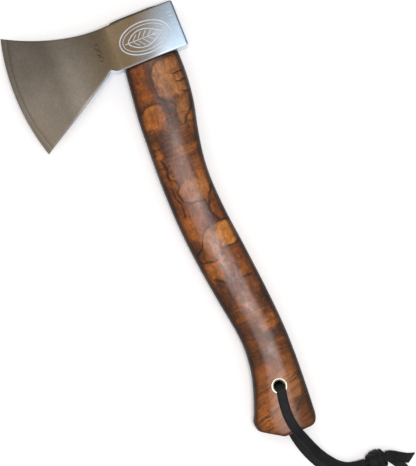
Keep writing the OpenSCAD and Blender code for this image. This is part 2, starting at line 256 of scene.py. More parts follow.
class Shader:
    """A material's node tree, with a short call for each kind of node that is used here."""

    def __init__(self, name):
        self.material = bpy.data.materials.new(name)
        self.material.use_nodes = True
        self.tree = self.material.node_tree
        self.surface = self.tree.nodes["Principled BSDF"]
        self.place = self.tree.nodes.new("ShaderNodeTexCoord").outputs["Object"]

    def add(self, kind, inputs=(), **settings):
        made = self.tree.nodes.new(kind)
        for key, value in settings.items():
            setattr(made, key, value)
        for key, value in dict(inputs).items():
            if isinstance(value, bpy.types.NodeSocket):
                self.tree.links.new(value, made.inputs[key])
            else:
                made.inputs[key].default_value = value
        return made

    def math(self, operation, a, b=0.0, c=0.0):
        return self.add("ShaderNodeMath", {0: a, 1: b, 2: c}, operation=operation).outputs[0]

    def times(self, a, b):
        return self.math("MULTIPLY", a, b)

    def size(self, a):
        return self.math("ABSOLUTE", a)

    def vector(self, operation, a, b=(0, 0, 0)):
        return self.add("ShaderNodeVectorMath", {0: a, 1: b}, operation=operation).outputs[0]

    def length(self, a):
        return self.add("ShaderNodeVectorMath", {0: a}, operation="LENGTH").outputs["Value"]

    def combine(self, x, y, z=0.0):
        return self.add("ShaderNodeCombineXYZ", {0: x, 1: y, 2: z}).outputs[0]

    def parts(self, vector):
        made = self.add("ShaderNodeSeparateXYZ", {0: vector})
        return made.outputs[0], made.outputs[1], made.outputs[2]

    def normal_parts(self):
        return self.parts(self.add("ShaderNodeNewGeometry").outputs["Normal"])

    def scaled(self, vector, amounts):
        return self.vector("MULTIPLY", vector, amounts)

    def noise(self, vector, scale, detail=3.0, roughness=0.6):
        inputs = {"Vector": vector, "Scale": scale, "Detail": detail, "Roughness": roughness}
        return self.add("ShaderNodeTexNoise", inputs).outputs["Fac"]

    def grain(self, vector, sideways, lengthways, detail=3.0, roughness=0.6):
        """Noise at one scale along the haft and another one across it."""
        return self.noise(self.scaled(vector, (sideways, lengthways, sideways)), 1, detail, roughness)

    def jitter(self, vector, scale, amount, detail=2.0):
        """Noise that shifts places about by roughly the amount, in the vector's own unit."""
        made = self.add("ShaderNodeTexNoise", {"Vector": vector, "Scale": scale, "Detail": detail})
        centred = self.vector("SUBTRACT", made.outputs["Color"], (0.5, 0.5, 0.5))
        return self.scaled(centred, (3 * amount,) * 3)

    def ramp(self, value, stops):
        """Colours at places along 0 to 1."""
        made = self.add("ShaderNodeValToRGB", {0: value})
        elements = made.color_ramp.elements
        while len(elements) < len(stops):
            elements.new(0.5)
        for element, (at, colour) in zip(elements, stops):
            element.position = at
            element.color = (*colour, 1)
        return made.outputs["Color"]

    def step(self, value, low, high, to_low=0.0, to_high=1.0):
        """A smooth step from to_low to to_high as value goes from low to high."""
        made = self.add(
            "ShaderNodeMapRange",
            {"Value": value, "From Min": low, "From Max": high, "To Min": to_low, "To Max": to_high},
            interpolation_type="SMOOTHSTEP",
        )
        return made.outputs["Result"]

    def curve(self, value, points):
        """A smooth curve through points whose two numbers both run from 0 to 1."""
        made = self.add("ShaderNodeFloatCurve", {"Value": value})
        line = made.mapping.curves[0]
        while len(line.points) < len(points):
            line.points.new(0.5, 0.5)
        for point, place in zip(line.points, points):
            point.location = place
        made.mapping.update()
        return made.outputs[0]

    def mix(self, share, a, b, blend="MIX"):
        """Colour a with a share of colour b over it, where a colour is a socket or three numbers."""
        a, b = [c if isinstance(c, bpy.types.NodeSocket) else (*c, 1) for c in (a, b)]
        made = self.add("ShaderNodeMix", {0: share, 6: a, 7: b}, data_type="RGBA", blend_type=blend)
        return made.outputs[2]

    def shade(self, colour, amount):
        """The colour made darker or lighter by a grey amount."""
        return self.mix(1.0, colour, self.combine(amount, amount, amount), "MULTIPLY")

    def toned(self, colour, value, low, high, at_low, at_high):
        """The colour shaded by at_low to at_high as value goes from low to high."""
        return self.shade(colour, self.step(value, low, high, at_low, at_high))

    def bump(self, height, distance, strength=1.0, under=None):
        made = self.add("ShaderNodeBump", {"Height": height, "Distance": distance, "Strength": strength})
        if under:
            self.tree.links.new(under, made.inputs["Normal"])
        return made.outputs[0]

    def finish(self, colour, roughness, normal=None, **plain):
        """Links colour, roughness and normal to the surface, and sets plain numbers on it."""
        for key, value in (("Base Color", colour), ("Roughness", roughness), ("Normal", normal)):
            if isinstance(value, bpy.types.NodeSocket):
                self.tree.links.new(value, self.surface.inputs[key])
            elif value is not None:
                self.surface.inputs[key].default_value = value
        for key, value in plain.items():
            self.surface.inputs[key.replace("_", " ")].default_value = value
        return self.material


def wear(made, material):
    """Gives an object one material, and hands the object back."""
    made.data.materials.clear()
    made.data.materials.append(material)
    return made


def in_frame(made, node):
    """Has a piece ride on the hatchet in the place of one CAD node."""
    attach(made, "root")
    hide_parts(node)


FIGURE_RISE = 1.8  # the figure's zero line lies this far above the head's top, in millimetres


def design_place(s, place):
    """Millimetres from the eye's axis towards the poll, and down from the zero line, as sockets."""
    x, y, _ = s.parts(place)
    across = s.math("MULTIPLY_ADD", x, 1 / MM, -EYE_X / MM)
    down = s.math("MULTIPLY_ADD", y, -1 / MM, TOP_Y / MM + FIGURE_RISE)
    return across, down


def steel_colour_with_painted_light(s, cloud, speck):
    """Brown-grey over the bit giving way to a painted blue-grey reflection at the poll, with painted light
    and shade by place and by the way each face turns.
    """
    across, down = design_place(s, s.place)
    slanted = s.math("MULTIPLY_ADD", down, 0.45, across)
    bit = s.mix(cloud, srgb(105, 97, 86), srgb(127, 119, 108))
    middle = s.mix(cloud, srgb(104, 88, 66), srgb(124, 108, 86))
    # Painted reflection: the blue-grey of a cool light mirrored in the steel, mixed in towards the poll.
    poll = s.shade(s.mix(cloud, srgb(146, 166, 184), srgb(166, 186, 204)), 0.72)
    colour = s.mix(s.step(across, -62, -26), bit, middle)
    # Painted shade: the eye block darker than the neck in front of it.
    colour = s.toned(colour, across, -31, -17, 1.0, 0.62)
    colour = s.mix(s.step(slanted, -2, 54), colour, poll)
    # Painted light and shade: off the eye block the steel grows lighter towards its lower edge, on the block
    # it grows darker.
    block = s.times(s.step(across, -30, -22), s.step(across, 14, -2))
    painted_light_beside_block = s.toned(colour, down, 0, 46, 0.8, 1.2)
    colour = s.mix(block, painted_light_beside_block, s.toned(colour, down, 0, 46, 0.86, 0.64))
    # Painted shade: the bit darker towards the cutting edge, with a faint darker band beyond.
    colour = s.toned(colour, across, -62, -80, 1.0, 0.62)
    colour = s.toned(colour, across, -80, -94, 1.0, 0.96)
    colour = s.toned(colour, speck, 0.3, 0.72, 0.84, 1.12)
    rust = s.times(s.step(across, -84, -100), s.step(down, 40, 70))
    colour = s.mix(s.times(rust, s.step(cloud, 0.4, 0.62, 0.05, 0.3)), colour, srgb(92, 72, 46))
    normal_x, normal_y, normal_z = s.normal_parts()
    # Painted highlight: the edge bevel, whose faces turn towards the edge, made lighter.
    bevel = s.times(s.step(normal_x, -0.09, -0.17), s.step(across, -84, -92))
    colour = s.toned(colour, bevel, 0, 1, 1.0, 1.9)
    upright = s.size(normal_z)
    # Painted shade: a dark line along the rounded edges, where the faces turn away from above.
    painted_rim_shade = s.times(s.step(upright, 0.92, 0.7), s.step(upright, 0.05, 0.3))
    colour = s.mix(s.times(painted_rim_shade, 0.55), colour, srgb(44, 40, 38))
    # Painted reflection: the faces that turn down the head, towards the haft, made bluish white like the
    # pale floor mirrored in them.
    return s.mix(s.step(normal_y, -0.3, -0.6), colour, srgb(214, 226, 240))


def steel_material(name, stamp=None):
    """Satin ground steel. A stamp is a colour mixed in over the faces that a cutter leaves: a pale painted
    highlight in the emblem's grooves, or dark painted shade in the punched rings.
    """
    s = Shader(name)
    cloud = s.noise(s.place, 55, 4)
    speck = s.noise(s.place, 1100, 3, 0.75)
    grind = s.grain(s.place, 2400, 160)
    colour = steel_colour_with_painted_light(s, cloud, speck)
    roughness = s.step(speck, 0.25, 0.75, 0.3, 0.42)
    if stamp:
        # The stamp's painted highlight or painted shade, over the cut faces.
        colour = s.mix(0.6, colour, stamp)
        roughness = s.step(speck, 0.25, 0.75, 0.42, 0.6)
    normal = s.bump(grind, 0.02 * MM, 0.2)
    normal = s.bump(speck, 0.03 * MM, 0.35, normal)
    return s.finish(colour, roughness, normal, Metallic=1.0)


# Figure of the walnut, in millimetres across from the eye's axis and down from the zero line.
# Each patch is (across, down, half width, half length, softness, share, colour).
RUST = srgb(122, 66, 30)
ORANGE = srgb(160, 95, 42)
AMBER = srgb(188, 122, 54)
TAN = srgb(150, 100, 62)
CHOCOLATE = srgb(66, 38, 26)
SMOKE = srgb(62, 44, 42)
# The dark of the figure's lines, which also paints the shadow below the head.
INK_AND_SHADOW = srgb(28, 17, 15)

PATCHES = [
    (-16, 58, 11, 18, 0.5, 0.7, RUST),
    (-3, 88, 8, 14, 0.6, 0.7, SMOKE),
    (-1, 62, 3, 16, 0.6, 0.6, CHOCOLATE),
    (-14, 108, 10, 7, 0.6, 0.5, SMOKE),
    (-3, 107, 20, 10, 0.5, 0.5, CHOCOLATE),
    (10, 60, 13.5, 16, 0.14, 0.85, TAN),
    (1, 81, 6, 6, 0.35, 0.8, SMOKE),
    (-15.5, 87, 9, 10, 0.3, 0.9, ORANGE),
    (9, 89, 8, 11, 0.35, 0.75, TAN),
    (13, 99, 4, 8, 0.5, 0.7, ORANGE),
    (6, 118, 12, 3, 0.5, 0.6, ORANGE),
    (-25, 118, 4, 12, 0.4, 0.7, ORANGE),
    (-8, 130, 12, 10, 0.5, 0.5, srgb(112, 78, 64)),
    (9, 147, 9, 15, 0.35, 0.85, ORANGE),
    (-5, 152, 11, 9, 0.3, 0.8, TAN),
    (-22, 165, 5, 30, 0.4, 0.6, RUST),
    (-12, 176, 7, 14, 0.5, 0.5, RUST),
    (-3.5, 171, 2.6, 10, 0.5, 0.8, SMOKE),
    (7, 172, 5, 10, 0.3, 0.8, RUST),
    (-18, 183, 7, 10, 0.6, 0.7, ORANGE),
    (-19, 148, 3, 12, 0.5, 0.7, ORANGE),
    (-21, 198, 5, 9, 0.5, 0.6, CHOCOLATE),
    (5.5, 194, 8.5, 10, 0.2, 0.9, AMBER),
    (-8, 196, 6, 10, 0.5, 0.6, TAN),
    (6, 213, 7, 8, 0.4, 0.6, RUST),
    (-16, 221, 8, 8, 0.3, 0.85, ORANGE),
    (-9, 236, 8, 8, 0.5, 0.7, CHOCOLATE),
    (8, 241, 12, 9, 0.4, 0.6, srgb(108, 62, 36)),
    (-16, 254, 6, 10, 0.5, 0.6, CHOCOLATE),
    (-4, 264, 12, 3.5, 0.6, 0.35, ORANGE),
    (13, 274, 7, 5, 0.5, 0.6, ORANGE),
    (12, 284, 9, 4, 0.5, 0.8, SMOKE),
    (3, 297, 20, 6, 0.5, 0.7, CHOCOLATE),
    (-10, 289, 9, 20, 0.7, 0.5, CHOCOLATE),
    (-8, 316, 14, 8, 0.5, 0.7, ORANGE),
    (-12, 340, 18, 17, 0.4, 0.85, ORANGE),
    (10, 329, 10, 13, 0.5, 0.75, TAN),
    (12, 344, 6, 4, 0.6, 0.6, CHOCOLATE),
    (20, 342, 3.5, 20, 0.5, 0.7, CHOCOLATE),
]

# Lines that run down the haft: (down, across) points, then width, feathered side and share.
DOWN_VEINS = [
    ([(44, 3), (47, -2), (53, -5), (60, -6), (68, -6), (75, -2), (82, 4), (88, 3), (98, 3)], 2.2, -6, 0.75),
    ([(80, 20), (84, 19), (90, 15), (95, 10), (99, 7)], 2.0, -3, 0.8),
    ([(119, -23), (130, -21), (137, -21.5), (141, -17), (147, -17), (151, -19), (160, -14)], 1.5, -3, 0.9),
    ([(143, -24), (150, -22.5), (156, -21.5), (163, -20), (172, -21)], 1.2, 0, 0.75),
    ([(150, 10), (154, 8.5), (159, 5), (162, 2)], 1.5, 0, 0.9),
    ([(161, 2.5), (168, 1), (174, 0.5), (179, 2.5), (183, 5.5)], 1.4, 0, 0.9),
    ([(172, -4), (178, -3), (184, -2)], 1.4, 0, 0.8),
    ([(215, -7), (222, -7), (231, -6)], 2.4, 3, 0.75),
    ([(218, 3.5), (222, 4), (226, 3), (232, 2.5)], 1.4, 0, 0.85),
    ([(234, 4), (239, 1), (246, -1)], 1.2, 0, 0.5),
]

# Lines that run across the haft: (across, down) points, then width, feathered side and share.
CROSS_VEINS = [
    ([(-3, 46), (3, 44), (9, 43), (14, 43.5), (19, 46)], 1.6, 0, 0.6),
    ([(11, 57), (16, 58), (22, 56)], 1.1, 0, 0.8),
    ([(12, 64), (17, 65), (22, 64)], 1.2, 0, 0.8),
    ([(14, 73), (18, 74.5), (22, 75)], 1.4, 0, 0.8),
    ([(-25, 79), (-20, 77), (-14, 75.5), (-9, 76.5), (-4, 80)], 1.6, -4, 0.8),
    ([(-17, 159.5), (-11, 161), (-4, 162.5), (0, 162)], 1.7, 0, 0.95),
    ([(4, 182), (8, 182.7), (14, 182.3)], 1.2, 0, 0.95),
    ([(-24, 203), (-18, 200), (-14.5, 194), (-12, 188), (-8, 184.5), (-2, 182.5)], 1.5, 2, 0.95),
    ([(-3, 204), (3, 205), (9, 204.5), (15, 204)], 1.4, 0, 0.75),
    ([(-25, 208.5), (-17, 211.5), (-8, 212.5)], 1.3, 0, 0.8),
    ([(0, 218.5), (5, 219.5)], 1.3, 0, 0.75),
    ([(-19, 226), (-13, 229), (-8, 232)], 2.0, 0, 0.8),
    ([(-3, 231.5), (4, 232), (14, 231.5)], 1.3, 0, 0.8),
    ([(-20, 327), (-12, 325), (-4, 323)], 1.0, 0, 0.6),
    ([(6, 324), (13, 322), (21, 320)], 1.1, 0, 0.6),
    ([(-26, 347), (-16, 345), (-6, 342)], 1.0, 0, 0.5),
    ([(-23, 337), (-12, 334), (-4, 331)], 1.0, 0, 0.5),
    ([(4, 350), (11, 343), (19, 334)], 1.6, 0, 0.6),
]


def patch(s, spot, across, down, half_width, half_length, softness, share):
    """How far a place lies inside a rounded box, from 0 outside to share inside."""
    offset = s.vector("SUBTRACT", spot, (across, down, 0))
    offset = s.scaled(offset, (1 / half_width, 1 / half_length, 0))
    reach = s.math("POWER", s.length(s.scaled(offset, offset)), 0.5)
    return s.step(reach, 1 + softness, 1 - softness, 0.0, share)


def vein(s, along, sideways, points, width, feather, share):
    """How dark a line through points is: sharp, or feathered towards one side."""
    start, end = points[0][0], points[-1][0]
    low = min(side for _, side in points)
    span = max(side for _, side in points) - low
    placed = [((a - start) / (end - start), (side - low) / span) for a, side in points]
    line = s.curve(s.math("DIVIDE", s.math("SUBTRACT", along, start), end - start), placed)
    offset = s.math("SUBTRACT", sideways, s.math("MULTIPLY_ADD", line, span, low))
    mark = s.step(s.size(offset), width * 1.1, width * 0.15)
    if feather:
        inside = s.times(offset, 1 / feather)
        fading = s.times(s.step(inside, 1, 0, 0, 0.75), s.step(inside, -0.15, 0.05))
        mark = s.math("MAXIMUM", mark, fading)
    ends = s.times(s.step(along, start - 1, start + 2), s.step(along, end + 1, end - 2))
    return s.times(s.times(mark, ends), share)


def walnut_ground(s, blotch):
    """Plain walnut, in four browns."""
    return s.ramp(blotch, [
        (0.32, srgb(70, 38, 19)),
        (0.46, srgb(100, 57, 28)),
        (0.58, srgb(126, 74, 33)),
        (0.7, srgb(152, 92, 40)),
    ])


def patched(s, colour, loose, spot):
    """The colour with the figure's patches over it."""
    smoke = s.step(s.noise(loose, 90), 0.3, 0.52, 0.45, 1.0)
    for *shape, tone in PATCHES:
        colour = s.mix(s.times(patch(s, spot, *shape), smoke), colour, tone)
    return colour


def streaked(s, colour, wavy, loose, mottle):
    """The colour with stripes along the grain and two sizes of mottling."""
    colour = s.toned(colour, s.grain(wavy, 420, 50, 4), 0.32, 0.62, 0.7, 1.14)
    colour = s.toned(colour, mottle, 0.3, 0.7, 0.74, 1.2)
    return s.toned(colour, s.noise(loose, 120), 0.36, 0.6, 0.84, 1.08)


def curled(s, colour, wavy, spot, above_butt):
    """The colour with curl across the grain, strongest in two stretches of the haft."""
    curl = s.grain(wavy, 40, 480, 3, 0.65)
    upper = patch(s, spot, -4, 112, 40, 20, 0.6, 1)
    lower = patch(s, spot, 0, 278, 40, 34, 0.5, 0.9)
    depth = s.math("MULTIPLY_ADD", s.math("MAXIMUM", upper, lower), 0.6, 0.14)
    depth = s.times(depth, above_butt)
    colour = s.mix(s.times(s.step(curl, 0.5, 0.34), depth), colour, CHOCOLATE)
    return s.mix(s.times(s.step(curl, 0.56, 0.7, 0, 0.55), depth), colour, ORANGE)


def fanned(s, colour, across, down):
    """The colour with the grain's thin lines, which fan out over the butt."""
    fan = s.combine(s.times(across, 0.02), s.math("MULTIPLY_ADD", across, 0.24, down))
    bands = s.noise(s.scaled(fan, (1, 0.3, 1)), 1)
    contour = s.size(s.math("SUBTRACT", s.math("FRACT", s.times(bands, 5.0)), 0.5))
    at_butt = s.step(down, 304, 320)
    colour = s.mix(s.times(s.step(bands, 0.52, 0.36, 0, 0.5), at_butt), colour, CHOCOLATE)
    return s.mix(s.times(s.step(contour, 0.12, 0.03, 0, 0.8), at_butt), colour, INK_AND_SHADOW)


def inked_with_painted_shadow(s, colour, across, down, mottle):
    """The colour with the figure's dark lines, and the shadow line below the head."""
    # Painted shadow: a dark line across the haft just below the head.
    ink_and_painted_shadow = s.step(down, 43.4, 41.4, 0, 0.85)
    for run, sideways, veins in ((down, across, DOWN_VEINS), (across, down, CROSS_VEINS)):
        for points, width, feather, share in veins:
            ink_and_painted_shadow = s.math("MAXIMUM", ink_and_painted_shadow, vein(s, run, sideways, points, width, feather, share))
    ink_and_painted_shadow = s.times(ink_and_painted_shadow, s.step(mottle, 0.28, 0.52, 0.62, 1.0))
    return s.mix(ink_and_painted_shadow, colour, INK_AND_SHADOW)


def rounded(s, colour, down):
    """The colour with painted shade on the flanks, a warmer tint and a faint painted highlight along the
    crown.
    """
    upright = s.size(s.normal_parts()[2])
    # Painted shade: the flanks darker as the surface turns away from above.
    colour = s.toned(colour, upright, 0.67, 0.985, 0.16, 1.0)
    colour = s.mix(1.0, colour, (1.0, 0.93, 0.78), "MULTIPLY")
    # Painted highlight: a pale pinkish stripe along the crown, below the head.
    crown = s.times(s.step(upright, 0.98, 0.998, 0, 0.16), s.step(down, 90, 150))
    return s.mix(crown, colour, srgb(190, 160, 152))


def walnut_material():
    """Oiled walnut with smoky patches, inky lines, cross curl and fine grain lines at the butt."""
    s = Shader("figured_walnut")
    wavy = s.vector("ADD", s.place, s.jitter(s.place, 120, 1.7 * MM, 3))
    wavy = s.vector("ADD", wavy, s.jitter(s.place, 600, 0.5 * MM))
    loose = s.vector("ADD", wavy, s.jitter(s.place, 70, 3.6 * MM))
    loose = s.vector("ADD", loose, s.jitter(s.scaled(s.place, (1, 0.5, 1)), 420, 1.6 * MM, 3))
    across, down = design_place(s, wavy)
    spot = s.combine(*design_place(s, loose))
    blotch = s.noise(s.scaled(wavy, (1, 0.6, 1)), 55, 4)
    mottle = s.noise(wavy, 260)
    pores = s.grain(s.place, 2600, 260, 2)
    above_butt = s.step(down, 316, 292)
    colour = patched(s, walnut_ground(s, blotch), loose, spot)
    streaks = streaked(s, colour, wavy, loose, mottle)
    colour = s.mix(s.math("MULTIPLY_ADD", above_butt, 0.75, 0.25), colour, streaks)
    colour = curled(s, colour, wavy, spot, above_butt)
    colour = fanned(s, colour, across, down)
    colour = inked_with_painted_shadow(s, colour, across, down, mottle)
    colour = s.toned(colour, pores, 0.3, 0.5, 0.82, 1.0)
    colour = rounded(s, colour, down)
    worn = s.step(blotch, 0.38, 0.62, 0.42, 0.28)
    roughness = s.math("ADD", s.step(pores, 0.2, 0.8, 0.06, -0.04), worn)
    normal = s.bump(pores, 0.02 * MM, 0.3)
    normal = s.bump(mottle, 0.12 * MM, 0.3, normal)
    normal = s.bump(blotch, 0.9 * MM, 0.35, normal)
    return s.finish(colour, roughness, normal, Specular_IOR_Level=0.22)


def pale_wood_material():
    """End grain of the hardwood wedge."""
    s = Shader("pale_end_grain")
    rings = s.grain(s.place, 1500, 90)
    colour = s.mix(s.step(rings, 0.35, 0.65), srgb(150, 112, 72), srgb(196, 160, 116))
    return s.finish(colour, s.step(rings, 0.2, 0.8, 0.5, 0.7), s.bump(rings, 0.05 * MM, 0.4))


def leather_material():
    """Black leather with a fine pebbled grain."""
    s = Shader("black_leather_band")
    pebbles = s.add("ShaderNodeTexVoronoi", {"Vector": s.place, "Scale": 2200.0}).outputs["Distance"]
    patchy = s.noise(s.place, 400)
    colour = s.mix(patchy, srgb(8, 8, 10), srgb(22, 22, 25))
    roughness = s.step(patchy, 0.2, 0.8, 0.5, 0.66)
    return s.finish(colour, roughness, s.bump(pebbles, 0.05 * MM, 0.35), Specular_IOR_Level=0.15)


def brass_material():
    """Pale brass, with painted shade inside the sleeve's bore."""
    s = Shader("pale_brass")
    patchy = s.noise(s.place, 500)
    colour = s.mix(patchy, srgb(226, 212, 180), srgb(246, 238, 216))
    # Painted shade: the faces that turn sideways, the bore's wall, made nearly black.
    bore = s.step(s.size(s.normal_parts()[2]), 0.4, 0.1)
    colour = s.mix(bore, colour, srgb(16, 14, 12))
    roughness = s.step(patchy, 0.2, 0.8, 0.26, 0.4)
    return s.finish(colour, roughness, s.bump(patchy, 0.02 * MM, 0.2), Metallic=0.55)


def floor_material():
    s = Shader("pale_floor")
    colour = s.mix(s.noise(s.place, 6, 3, 0.5), srgb(242, 242, 242), srgb(245, 245, 245))
    return s.finish(colour, 0.8)


steel = steel_material("ground_steel")
# Pale painted highlight for the emblem's grooves.
stamped_steel_painted_highlight = steel_material("stamped_steel_painted_highlight", srgb(180, 186, 192))
# Dark painted shade for the punched rings.
punched_steel_painted_shade = steel_material("punched_steel_painted_shade", srgb(28, 24, 20))
wedge_steel = steel_material("hammered_steel")
walnut = walnut_material()
pale_wood = pale_wood_material()
leather = leather_material()


# ---- lanyard: routes, in metres from the eye's axis, the head's top and the floor ----

LACE_W = 8 * MM
LACE_T = 2.2 * MM
LACE_SPACING = 0.9 * MM
SPLINE_STEPS = 24
BAND_EDGE = 0.42  # width of a band's round edge, as a share of its thickness

FRONT_ROUTE = [
    (0.0, -0.3243, 0.0135), (0.0, -0.3243, 0.018), (0.0, -0.3243, 0.0224), (0.0, -0.3253, 0.0249),
    (0.0, -0.3278, 0.0259), (-0.0006, -0.3312, 0.0258), (-0.0017, -0.3382, 0.0257),
    (-0.0023, -0.3472, 0.0257), (-0.0015, -0.3562, 0.0256), (0.0004, -0.3637, 0.0244),
    (0.0027, -0.3702, 0.0204), (0.0048, -0.3762, 0.0146), (0.0072, -0.3827, 0.0082),
    (0.0102, -0.3892, 0.0043, 8), (0.0146, -0.3962, 0.0032, 16), (0.0206, -0.4034, 0.0032, 16),
    (0.0276, -0.4081, 0.0044, 10), (0.0346, -0.4098, 0.0066, 4), (0.0402, -0.4102, 0.0084),
    (0.0424, -0.4104, 0.0088),
]
REAR_ROUTE = [
    (0.0, -0.3243, 0.0135), (0.0, -0.3243, 0.009), (0.0, -0.3243, 0.0046), (0.0, -0.3253, 0.0021),
    (0.0, -0.3278, 0.00115), (-0.0008, -0.3322, 0.0012), (-0.0026, -0.3402, 0.0012),
    (-0.0038, -0.3502, 0.0012), (-0.0039, -0.3592, 0.0012), (-0.0032, -0.3672, 0.0012),
    (-0.0016, -0.3752, 0.0012), (0.0008, -0.3832, 0.0012), (0.0042, -0.3912, 0.0012),
    (0.0088, -0.3992, 0.0012), (0.0148, -0.4064, 0.0012), (0.0218, -0.4114, 0.0013),
    (0.0292, -0.4136, 0.0026), (0.036, -0.4134, 0.0046), (0.0406, -0.4124, 0.0058),
    (0.0424, -0.4117, 0.0061),
]
FRONT_TAIL_ROUTE = [
    (0.0604, -0.4108, 0.0089), (0.0632, -0.4113, 0.0082), (0.0665, -0.4132, 0.0052),
    (0.0715, -0.4166, 0.0029), (0.077, -0.4198, 0.0016), (0.083, -0.4218, 0.0012),
]
REAR_TAIL_ROUTE = [
    (0.0604, -0.4116, 0.0062), (0.0628, -0.413, 0.005), (0.0652, -0.4162, 0.0026),
    (0.0684, -0.4212, 0.0013), (0.071, -0.4272, 0.0012), (0.0734, -0.4342, 0.0012),
]


def spline(points, spacing):
    """A smooth curve through points, resampled at an even spacing."""
    points = np.asarray(points, float)
    slopes = np.gradient(points, axis=0)
    fine = []
    for i in range(len(points) - 1):
        for t in np.linspace(0, 1, SPLINE_STEPS, endpoint=False):
            fine.append(hermite(t, points[i], slopes[i], points[i + 1], slopes[i + 1]))
    fine = np.array(fine + [points[-1]])
    steps = np.linalg.norm(np.diff(fine[:, :3], axis=0), axis=1)
    along = np.concatenate([[0], np.cumsum(steps)])
    wanted = np.linspace(0, along[-1], max(2, round(along[-1] / spacing) + 1))
    return np.stack([np.interp(wanted, along, fine[:, k]) for k in range(fine.shape[1])], axis=1)


def on_row(route):
    """A route's points in the row frame, each with its band's roll in degrees, if any."""
    return [(EYE_X + x, TOP_Y + y, z, sum(roll)) for x, y, z, *roll in route]


def band_section(width, thickness):
    """Half-round-edged section of a leather band, as (across, up) pairs."""
    edge = thickness * BAND_EDGE
    flat = width / 2 - edge
    right = [(flat + edge * math.sin(a), thickness / 2 * math.cos(a)) for a in np.linspace(0, math.pi, 7)]
    left = [(-x, -y) for x, y in right]
    top = [(x, thickness / 2) for x in np.linspace(-flat, flat, 6)[1:-1]]
    bottom = [(-x, -y) for x, y in top]
    return top + right + bottom + left


def band(name, centres, sides, ups, width, thickness):
    """A leather band along centres, with its flat side along sides and its face along ups."""
    section = band_section(width, thickness)
    made = loft(name, [[c + s * a + u * b for a, b in section] for c, s, u in zip(centres, sides, ups)])
    made.data.set_sharp_from_angle(angle=math.radians(60))
    return made


def lace_frames(route):
    """Centres, side vectors and face vectors along a route whose band lies level, plus its roll."""
    fine = spline(on_row(route), LACE_SPACING)
    centres = fine[:, :3]
    heading = unit(np.gradient(centres, axis=0))
    sides, ups = [], []
    for d, roll in zip(heading, np.radians(fine[:, 3])):
        level = np.array([-d[1], d[0], 0.0])
        steep = np.linalg.norm(level)
        weight = np.clip((steep - 0.02) / 0.2, 0, 1)
        level = level / max(steep, 1e-9) * weight + np.array([1.0, 0, 0]) * (1 - weight)
        level /= np.linalg.norm(level)
        up = np.cross(d, level)
        side = level * math.cos(roll) + up * math.sin(roll)
        sides.append(side)
        ups.append(np.cross(d, side))
    return centres, np.array(sides), np.array(ups)


ROLL_REACH = 9 * MM  # how far from the middle of its hole the lace stays rolled up
ROLL_T = 7.4 * MM


def roll_up(made, centres, ups):
    """Rounds out the band where it runs through the sleeve, so that it fills the bore."""
    section = band_section(LACE_W, LACE_T)
    for i, (centre, up_vector) in enumerate(zip(centres, ups)):
        away = float(np.linalg.norm(centre - np.array(HOLE))) / ROLL_REACH
        share = max(0.0, min(1.0, 1.6 - 1.2 * away))
        for j, (across, up) in enumerate(section):
            fullness = math.sqrt(max(0.0, 1 - (2 * across / LACE_W) ** 2))
            grow = share * max(0.0, ROLL_T / 2 * fullness - abs(up))
            made.data.vertices[i * len(section) + j].co += Vector(up_vector) * math.copysign(grow, up)


SLANT_REACH = 9 * MM  # length of a slanted tail over which its cross-lines swing round


def slant_end(made, centres, slope):
    """Cuts the band's end aslant, by drawing back one side of its last cross-lines."""
    section = band_section(LACE_W, LACE_T)
    heading = Vector(centres[-1] - centres[-4]).normalized()
    far = (len(centres) - 1) * LACE_SPACING
    for i in range(len(centres)):
        share = max(0.0, 1 - (far - i * LACE_SPACING) / SLANT_REACH) ** 1.3
        for j, (across, _) in enumerate(section):
            back = (LACE_W / 2 - across * math.copysign(1, slope)) * abs(slope) * share
            made.data.vertices[i * len(section) + j].co -= heading * back


def lace(name, route, node, slope=0.0):
    """One node's length of lace, with its end cut aslant if a slope is given, and its centreline."""
    centres, sides, ups = lace_frames(route)
    made = wear(band(name, centres, sides, ups, LACE_W, LACE_T), leather)
    roll_up(made, centres, ups)
    if slope:
        slant_end(made, centres, slope)
    in_frame(made, node)
    return made, centres


front_strand, front_path = lace("lace_front", FRONT_ROUTE, "lace_front_strand")
rear_strand, rear_path = lace("lace_rear", REAR_ROUTE, "lace_rear_strand")
front_tail, _ = lace("lace_front_end", FRONT_TAIL_ROUTE, "lace_front_tail", 0.75)
rear_tail, _ = lace("lace_rear_end", REAR_TAIL_ROUTE, "lace_rear_tail", -0.5)


# Windings of the tied knot: (start, rounds, from, to, radius, lift), with rounds in full turns, places
# along the knot as shares of its half length, and radii as shares of its half width. The lift is how
# much further out a winding stands on the knot's upper side than on its lower one.
KNOT_WINDINGS = [
    (0.30, 1.45, -0.74, 0.62, 0.62, 0.0),
    (0.05, -1.40, 0.74, -0.60, 0.64, 0.0),
    (0.95, 1.15, -0.46, 0.50, 0.77, 0.09),
    (0.62, -1.10, 0.58, -0.40, 0.76, -0.09),
]
KNOT_BAND_W = 6.6 * MM
KNOT_BAND_T = 2.2 * MM
KNOT_DIVE = 0.17  # share of a winding over which it dives into the knot at each end
KNOT_DIVE_R = 0.3  # where a winding ends, as a share of the knot's half width
WINDING_POINTS = 110
KNOT_CORE_SIDES = 40
KNOT_CORE_END = 0.994  # of the knot's half length, so that the core stays inside its box
KNOT_SLACK = 0.05 * MM


